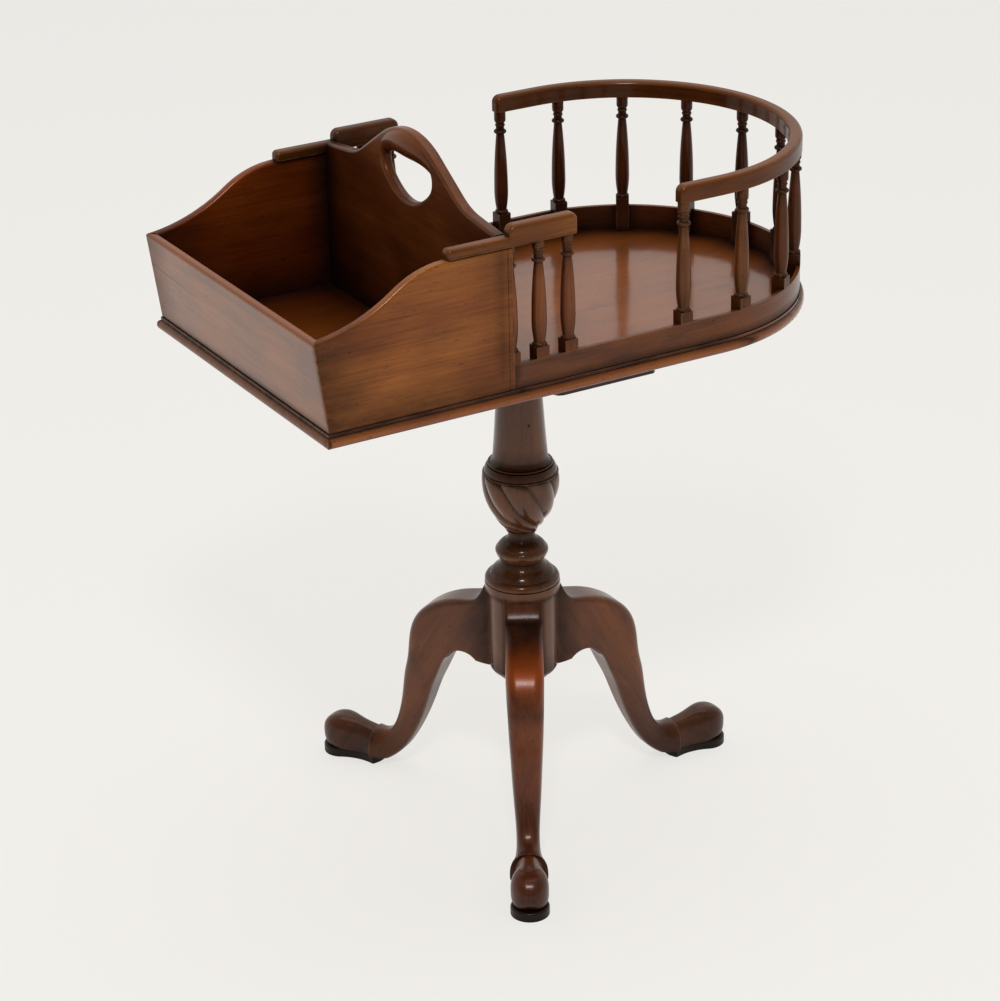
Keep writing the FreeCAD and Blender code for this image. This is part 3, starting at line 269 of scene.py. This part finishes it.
board = nodes["end_board"].data.materials[0].node_tree
polish = next(node for node in board.nodes if node.type == "BSDF_PRINCIPLED")
point = add_node(board, "TexCoord").outputs["Object"]
place = add_node(board, "SeparateXYZ", {0: point})
wander = add_node(board, "TexNoise", {"Vector": point, "Scale": 35.0, "Detail": 3.0})
line = add_node(board, "VectorMath", {0: point, 1: (0, -SPLIT_RISE, 1)}, operation="DOT_PRODUCT")
height = add_node(board, "Math", {0: wander, 1: SPLIT_WANDER, 2: line}, operation="MULTIPLY_ADD")
middle = SPLIT_HEIGHT - SPLIT_RISE * SPLIT_TIP + SPLIT_WANDER / 2
split = add_node(board, "Math", {0: height, 1: middle, 2: SPLIT_HALF}, operation="COMPARE")
opened = add_node(board, "MapRange", {
    "Value": place.outputs["Y"], "From Min": SPLIT_TIP, "From Max": SPLIT_WIDE, "To Max": 0.95,
})
outer = add_node(board, "Math", {0: place.outputs["X"], 1: OUTER_FACE}, operation="LESS_THAN")
for share in (opened, outer):
    split = add_node(board, "Math", {0: split, 1: share}, operation="MULTIPLY")
whole = polish.inputs["Base Color"].links[0].from_socket
cracked = add_node(board, "Mix", {0: split, 6: whole, 7: linear("#140B07")}, data_type="RGBA")
board.links.new(cracked.outputs[2], polish.inputs["Base Color"])

# ---------------------------------------------------------------- side panels
# The two panels beside the box, with the ogee top.  Their grain is level, and they
# darken towards the lower edge, the mitre and the divider joint.  The back one is seen
# from inside the box: its darker, redder tones and its stronger darkening at the divider joint are
# painted shade.

PANEL_CANT = (-0.9913, 0, -0.1314)
CANT_OFFSET = 226.3
DIVIDER_BOX_FACE, DIVIDER_GALLERY_FACE = -119.5, -107.5
PANEL_END = -112.5

for label, shift, joint_soot_and_shade, painted_light_tones in (
        ("front", 10.0, 0.6, ("#562408", "#945018", "#BC7630")),
        ("back", 12.0, 1.0, ("#4A1B04", "#84380B", "#A85A1A"))):
    finish(nodes[f"side_panel_{label}"], polished_mahogany(
        f"{label} panel mahogany", sawn_grain(ALONG), *painted_light_tones,
        ribbon=0.35, polish=0.24, gloss=0.6, shift=shift, wear=0.6, shade=1.0, smoke=0.25,
        seams=[(UP, TRAY_FLOOR, 40.0, 0.7), (PANEL_CANT, CANT_OFFSET, 75.0, 0.8),
               (UP, TRAY_FLOOR, 5.0, 0.9), (ALONG, DIVIDER_GALLERY_FACE, 45.0, 0.45),
               (ALONG, DIVIDER_BOX_FACE, 17.0, joint_soot_and_shade), (ALONG, PANEL_END, 1.4, 1.0)],
        **BOARD_SOOT_AND_SHADE,
    ))

# ---------------------------------------------------------------- divider and handle
# The arched board between box and gallery, pierced by the hand hole.  The grip over
# the hole is carved from the same wood and rubbed smooth by hands.

DIVIDER_END = 166.0

finish(nodes["divider_board"], polished_mahogany(
    "divider mahogany", sawn_grain(ACROSS), "#3A1808", "#602E0E", "#86491B",
    ribbon=0.45, polish=0.16, gloss=0.45, shift=17.0, wear=0.7, shade=1.0,
    seams=[(UP, TRAY_FLOOR, 14.0, 0.6), (ACROSS, DIVIDER_END, 22.0, 0.95),
           (ACROSS, -DIVIDER_END, 16.0, 0.7)],
    **BOARD_SOOT_AND_SHADE,
))

# ---------------------------------------------------------------- cap rails
# Stepped rails on the side panels and the low spindles, one stick each, rounded over
# and rubbed on top.

PANEL_TOP = 687.5

# The back rail's darker tones are painted shade.
for label, shift, painted_light_tones in (("front", 22.0, ("#401D0B", "#784218", "#9A5E28")),
                             ("back", 24.0, ("#2A1207", "#502A0F", "#764418"))):
    finish(nodes[f"cap_rail_{label}"], polished_mahogany(
        f"{label} cap rail mahogany", sawn_grain(ALONG), *painted_light_tones,
        ribbon=0.4, polish=0.10, gloss=0.4, shift=shift, wear=0.8, soot_and_shade=0.9, shade=0.95,
        seams=[(UP, PANEL_TOP, 2.5, 0.85)],
    ))

# ---------------------------------------------------------------- bent rim and rail
# The upstand and the top rail of the gallery are bent to a horseshoe, so their grain
# follows the bend all the way round.

ROUND_END, ROUND_RADIUS = 0.123, 0.1687
RAIL_TOP = 710.0
RAIL_BACK = 180.0


def bent_grain(tree):
    """Coordinates of bent wood: X along the horseshoe, Y across it, Z up.

    Past the centre of the round end, X is the radius times the angle about that centre;
    before it, the straight run is added.  Y is the distance from the line of centres.
    """
    place = add_node(tree, "TexCoord").outputs["Object"]
    apart = add_node(tree, "SeparateXYZ", {0: place})
    across = apart.outputs["Y"]
    past = add_node(tree, "Math", {0: apart.outputs["X"], 1: ROUND_END}, operation="SUBTRACT")
    bend = add_node(tree, "Math", {0: past, 1: 0.0}, operation="MAXIMUM")
    straight = add_node(tree, "Math", {0: bend, 1: past}, operation="SUBTRACT")
    side = add_node(tree, "Math", {0: across}, operation="SIGN")
    run = add_node(tree, "Math", {0: side, 1: straight}, operation="MULTIPLY")
    angle = add_node(tree, "Math", {0: across, 1: bend}, operation="ARCTAN2")
    along = add_node(tree, "Math", {0: angle, 1: ROUND_RADIUS, 2: run}, operation="MULTIPLY_ADD")
    spoke = add_node(tree, "CombineXYZ", {"X": bend, "Y": across})
    reach = add_node(tree, "VectorMath", {0: spoke}, operation="LENGTH")
    return add_node(tree, "CombineXYZ", {"X": along, "Y": reach, "Z": apart.outputs["Z"]})


finish(nodes["gallery_rim"], polished_mahogany(
    "bent rim mahogany", bent_grain, "#341507", "#6E3B15", "#905022",
    ribbon=0.35, polish=0.18, gloss=0.6, shift=29.0, soot_and_shade=0.9, shade=0.95, smoke=0.6,
    seams=[(UP, TRAY_FLOOR, 9.0, 0.75), (ALONG, DIVIDER_GALLERY_FACE, 9.0, 0.8)],
))
# Painted shade darkens the back of the rail, and its top carries rubbed wear with a painted
# highlight along it.
finish(nodes["gallery_rail"], polished_mahogany(
    "bent rail mahogany", bent_grain, "#32150A", "#643410", "#88501E",
    ribbon=0.35, polish=0.09, gloss=0.35, shift=31.0, wear=0.7, satin=0.4, shade=0.95,
    seams=[(ACROSS, RAIL_BACK, 90.0, 0.4)], rubs_and_sheens=[(UP, RAIL_TOP, 4.0, 0.4)], rub_and_sheen_colour="#8E5426",
))

# ---------------------------------------------------------------- spindles
# Ten tall spindles round the gallery and three low ones under each cap rail, turned
# from straight sticks, with square feet notched over the rim.

FOOT_NOTCH, FOOT_TOP = 573.5, 585.5
LOW_COLLAR, TALL_COLLAR = 672.5, 676.0

for name in sorted(nodes):
    if "spindle" not in name:
        continue
    number = int(name.split("_")[-1])
    low = name.startswith("low")
    # Tones: the low spindles and the first two tall ones have the lit tones; the darker tones of
    # the tall spindles past the second, darkest past the fourth, are painted shade.
    if low:
        painted_light_tones = "#3E190A", "#763E1A", "#965828"
    elif number <= 2:
        painted_light_tones = "#3C1A09", "#704018", "#905629"
    elif number <= 4:
        painted_light_tones = "#32150A", "#5A2E12", "#7C441E"
    else:
        painted_light_tones = "#2A1005", "#4A220C", "#6C3817"
    finish(nodes[name], polished_mahogany(
        f"{name} mahogany", sawn_grain((0.03, 0.01, 1)), *painted_light_tones,
        ribbon=0.3, polish=0.12, gloss=0.5, shift=(57.0 if low else 37.0) + number,
        soot_and_shade=1.0, soot_and_shade_reach=6.0, soot_and_shade_full=0.65, wear=0.55, smoke=0.7,
        seams=[(UP, FOOT_TOP, 4.0, 0.9), (UP, FOOT_TOP, 32.0, 0.45),
               (UP, LOW_COLLAR if low else TALL_COLLAR, 22.0, 0.7),
               (UP, FOOT_NOTCH, 3.0, 0.6), (UP, TRAY_FLOOR, 12.0, 0.5)],
    ))

# ---------------------------------------------------------------- bearer and screws
# A plain mahogany bearer under the tray, never polished below, held by four slotted
# iron screws.  The pillar's tenon passes up through it.

finish(nodes["bearer"], polished_mahogany(
    "bearer mahogany", sawn_grain(ACROSS), "#2E1A11", "#4A2B1B", "#5A3723",
    ribbon=0.5, polish=0.45, shift=47.0, soot_and_shade=0.6, wear=0.2,
))

# Blackened iron: dull and pitted, brown with rust, with a dark slot 1 mm wide across
# each head.
SCREW_LINE, HALF_SLOT = 0.105, 0.0005

iron = bpy.data.materials.new("blackened iron")
iron.use_nodes = True
tree = iron.node_tree
tree.nodes.clear()
place = add_node(tree, "TexCoord").outputs["Object"]
apart = add_node(tree, "SeparateXYZ", {0: place})
across = add_node(tree, "Math", {0: apart.outputs["Y"]}, operation="ABSOLUTE")
slot = add_node(tree, "Math", {0: across, 1: SCREW_LINE, 2: HALF_SLOT}, operation="COMPARE")
rust = add_node(tree, "TexNoise", {"Vector": place, "Scale": 900.0, "Detail": 3.0})
rusted = add_node(tree, "Mix", {0: rust, 6: linear("#4B4642"), 7: linear("#5A3A26")},
                  data_type="RGBA")
slotted = add_node(tree, "Mix", {0: slot, 6: rusted, 7: linear("#0E0B09")}, data_type="RGBA")
sunk = add_node(tree, "Math", {0: rust, 1: slot}, operation="SUBTRACT")
pitted = add_node(tree, "Bump", {"Strength": 0.4, "Distance": 0.0001, "Height": sunk})
shader = add_node(tree, "BsdfPrincipled", {
    "Base Color": slotted, "Metallic": 0.8, "Roughness": 0.5, "Normal": pitted,
})
add_node(tree, "OutputMaterial", {"Surface": shader})
finish(nodes["bearer_screws"], iron)

# ---------------------------------------------------------------- pillar
# Turned from one mahogany billet, grain upright.  The bulb is carved with eight spiral
# gadroons; wax has turned black in the quirks, broad bands of painted shade darken it below the
# bearer and round the rings and the hub, and a small peg shows in the shaft.

# Height, reach and strength, in millimetres, of the dark wax in each narrow quirk and cove, and of
# the bands of painted shade, those that reach 14 mm and more.
QUIRKS_AND_SHADE_BANDS = ((375.5, 3.0, 1.0), (313.2, 5.0, 0.9), (246.5, 3.0, 0.9), (388.0, 22.0, 0.7),
          (BOARD_UNDERSIDE, 22.0, 0.7), (302.0, 17.0, 0.8), (268.0, 14.0, 0.75), (160.0, 20.0, 0.5))
PEG = ((-3.9, -24.7, 434.3), 1.8)

finish(nodes["pillar"], polished_mahogany(
    "pillar mahogany", sawn_grain((0.02, -0.02, 1)), "#3C2010", "#603619", "#804A22",
    ribbon=0.5, polish=0.14, gloss=0.95, shift=53.0, soot_and_shade=1.0, soot_and_shade_reach=8.0, soot_and_shade_full=0.80,
    wear=0.6, smoke=0.6, seams=[(UP, *quirk) for quirk in QUIRKS_AND_SHADE_BANDS], spots=[PEG],
))

# ---------------------------------------------------------------- legs
# Three scrolled legs sawn so that the grain runs from the hub down to the toe, carved
# and polished; the front leg has redder tones than the others, and a painted orange sheen at the
# knee.

TOE, PAD_TOP, KNEE = 8.0, 9.5, 202.0
HUB_FACE = 33.0
GRAIN_OUT, GRAIN_DOWN = 0.50, 0.866
FRONT_LEG = 3

for number, azimuth in ((1, 0), (2, 120), (3, -120)):
    turn = math.radians(azimuth)
    outwards = (math.cos(turn), math.sin(turn), 0)
    lie = (GRAIN_OUT * outwards[0], GRAIN_OUT * outwards[1], -GRAIN_DOWN)
    # The wood is darker towards the toe and against the hub, and wax lies round the shoe.
    seams = [(UP, TOE, 85.0, 0.48), (UP, PAD_TOP, 6.0, 0.9), (outwards, HUB_FACE, 26.0, 0.8)]
    mid, light, rubs_and_sheens = "#64361A", "#864A20", []
    if number == FRONT_LEG:
        # Its knee carries a painted orange sheen, with bands of painted shade above and below it.
        mid, light, rubs_and_sheens = "#683010", "#86441A", [(UP, KNEE, 19.0, 0.8)]
        seams += [(UP, 228.0, 17.0, 1.0), (UP, 252.0, 30.0, 0.7), (UP, 166.0, 16.0, 0.5)]
    finish(nodes[f"leg_{number}"], polished_mahogany(
        f"leg {number} mahogany", sawn_grain(lie), "#30140A", mid, light,
        ribbon=0.4, polish=0.23, gloss=0.75, shift=59.0 + number, soot_and_shade=0.5, soot_and_shade_full=0.5,
        wear=0.6, smoke=0.8, shade=0.35, seams=seams, rubs_and_sheens=rubs_and_sheens, rub_and_sheen_colour="#96420E",
    ))
    # The shoe under the foot: ebonised wood, glued on and worn dull.
    finish(nodes[f"foot_pad_{number}"], polished_mahogany(
        f"pad {number} ebonised", sawn_grain(lie), "#1A1512", "#2A211B", "#3E3128",
        ribbon=0.4, polish=0.30, gloss=0.4, shift=71.0 + number, soot_and_shade=0.7, wear=0.45,
    ))

# ---------------------------------------------------------------- studio
# A seamless pale floor, a soft lamp high behind the camera with a broad one overhead,
# and an even pale surround that is dimmer on the camera's side.

FLOOR_REACH, FLOOR_SIDES = 9.0, 96
FLOOR_GLOW = 0.72
FAR_SIDE = (0.50, 0.85, -0.45)
TABLE_MIDDLE = Vector((0, 0, 0.4))

ring = np.linspace(0, 2 * math.pi, FLOOR_SIDES, endpoint=False)
edge = FLOOR_REACH * np.stack([np.cos(ring), np.sin(ring), np.zeros(FLOOR_SIDES)], 1)
floor_mesh = bpy.data.meshes.new("studio_floor")
floor_mesh.from_pydata(edge.tolist(), [], [list(range(FLOOR_SIDES))])
floor = bpy.data.objects.new("studio_floor", floor_mesh)
bpy.context.scene.collection.objects.link(floor)
paper = bpy.data.materials.new("seamless paper")
paper.use_nodes = True
tree = paper.node_tree
tree.nodes.clear()
rays = add_node(tree, "LightPath")
seen = add_node(tree, "Math", {
    0: rays.outputs["Is Camera Ray"], 1: rays.outputs["Is Glossy Ray"],
}, operation="MAXIMUM")
share = add_node(tree, "Math", {0: seen, 1: FLOOR_GLOW}, operation="MULTIPLY")
matt = add_node(tree, "BsdfDiffuse", {"Color": linear("#EFECE8")})
glow = add_node(tree, "Emission", {"Color": linear("#FAF8F4"), "Strength": 1.0})
blend = add_node(tree, "MixShader", {0: share, 1: matt, 2: glow})
add_node(tree, "OutputMaterial", {"Surface": blend})
floor_mesh.materials.append(paper)

world = bpy.data.worlds.new("studio")
bpy.context.scene.world = world
world.use_nodes = True
sky = world.node_tree
sky.nodes.clear()
heading = add_node(sky, "TexCoord").outputs["Generated"]
away = add_node(sky, "VectorMath", {0: heading, 1: FAR_SIDE}, operation="DOT_PRODUCT")
level = add_node(sky, "MapRange", {
    "Value": away, "From Min": -0.8, "From Max": 0.55, "To Min": 0.30, "To Max": 0.85,
})
around = add_node(sky, "Background", {"Color": linear("#FAF8F4"), "Strength": level})
backdrop = add_node(sky, "Background", {"Color": linear("#ECE9E4"), "Strength": 1.0})
direct = add_node(sky, "LightPath").outputs["Is Camera Ray"]
chosen = add_node(sky, "MixShader", {0: direct, 1: around, 2: backdrop})
add_node(sky, "OutputWorld", {"Surface": chosen})


def soft_lamp(name, azimuth, elevation, distance, size, watts):
    """A round soft lamp that faces the table's middle, from angles in degrees."""
    a, e = math.radians(azimuth), math.radians(elevation)
    towards = Vector((math.cos(e) * math.cos(a), math.cos(e) * math.sin(a), math.sin(e)))
    data = bpy.data.lights.new(name, "AREA")
    data.shape = "DISK"
    data.size = size
    data.energy = watts
    lamp = bpy.data.objects.new(name, data)
    lamp.location = TABLE_MIDDLE + distance * towards
    lamp.rotation_euler = towards.to_track_quat("Z", "Y").to_euler()
    bpy.context.scene.collection.objects.link(lamp)


soft_lamp("key_lamp", 238, 50, 3.2, 0.55, 34)
soft_lamp("top_lamp", 60, 78, 3.6, 3.0, 26)

# ---------------------------------------------------------------- camera
# A long lens, 3.1 m from the middle of the table and well above the tray, tipped down
# and turned by a degree.

CAMERA_PLACE = Vector((-1.4514, -2.4647, 1.6437))
YAW, PITCH, ROLL = math.radians(30.07), math.radians(-24.45), math.radians(-1.19)
SENSOR_WIDTH, FOCAL_LENGTH = 36, 112.08

ahead = Vector((math.sin(YAW) * math.cos(PITCH), math.cos(YAW) * math.cos(PITCH), math.sin(PITCH)))
level_right = Vector((math.cos(YAW), -math.sin(YAW), 0))
level_up = level_right.cross(ahead)
right = math.cos(ROLL) * level_right + math.sin(ROLL) * level_up
up = math.cos(ROLL) * level_up - math.sin(ROLL) * level_right
turned = Matrix((right, up, -ahead)).transposed().to_4x4()
camera_data = bpy.data.cameras.new("camera")
camera_data.sensor_width = SENSOR_WIDTH
camera_data.lens = FOCAL_LENGTH
camera = bpy.data.objects.new("camera", camera_data)
camera.matrix_world = Matrix.Translation(CAMERA_PLACE) @ turned
bpy.context.scene.collection.objects.link(camera)
bpy.context.scene.camera = camera
bpy.context.scene.view_settings.view_transform = "Standard"

bpy.context.view_layer.update()
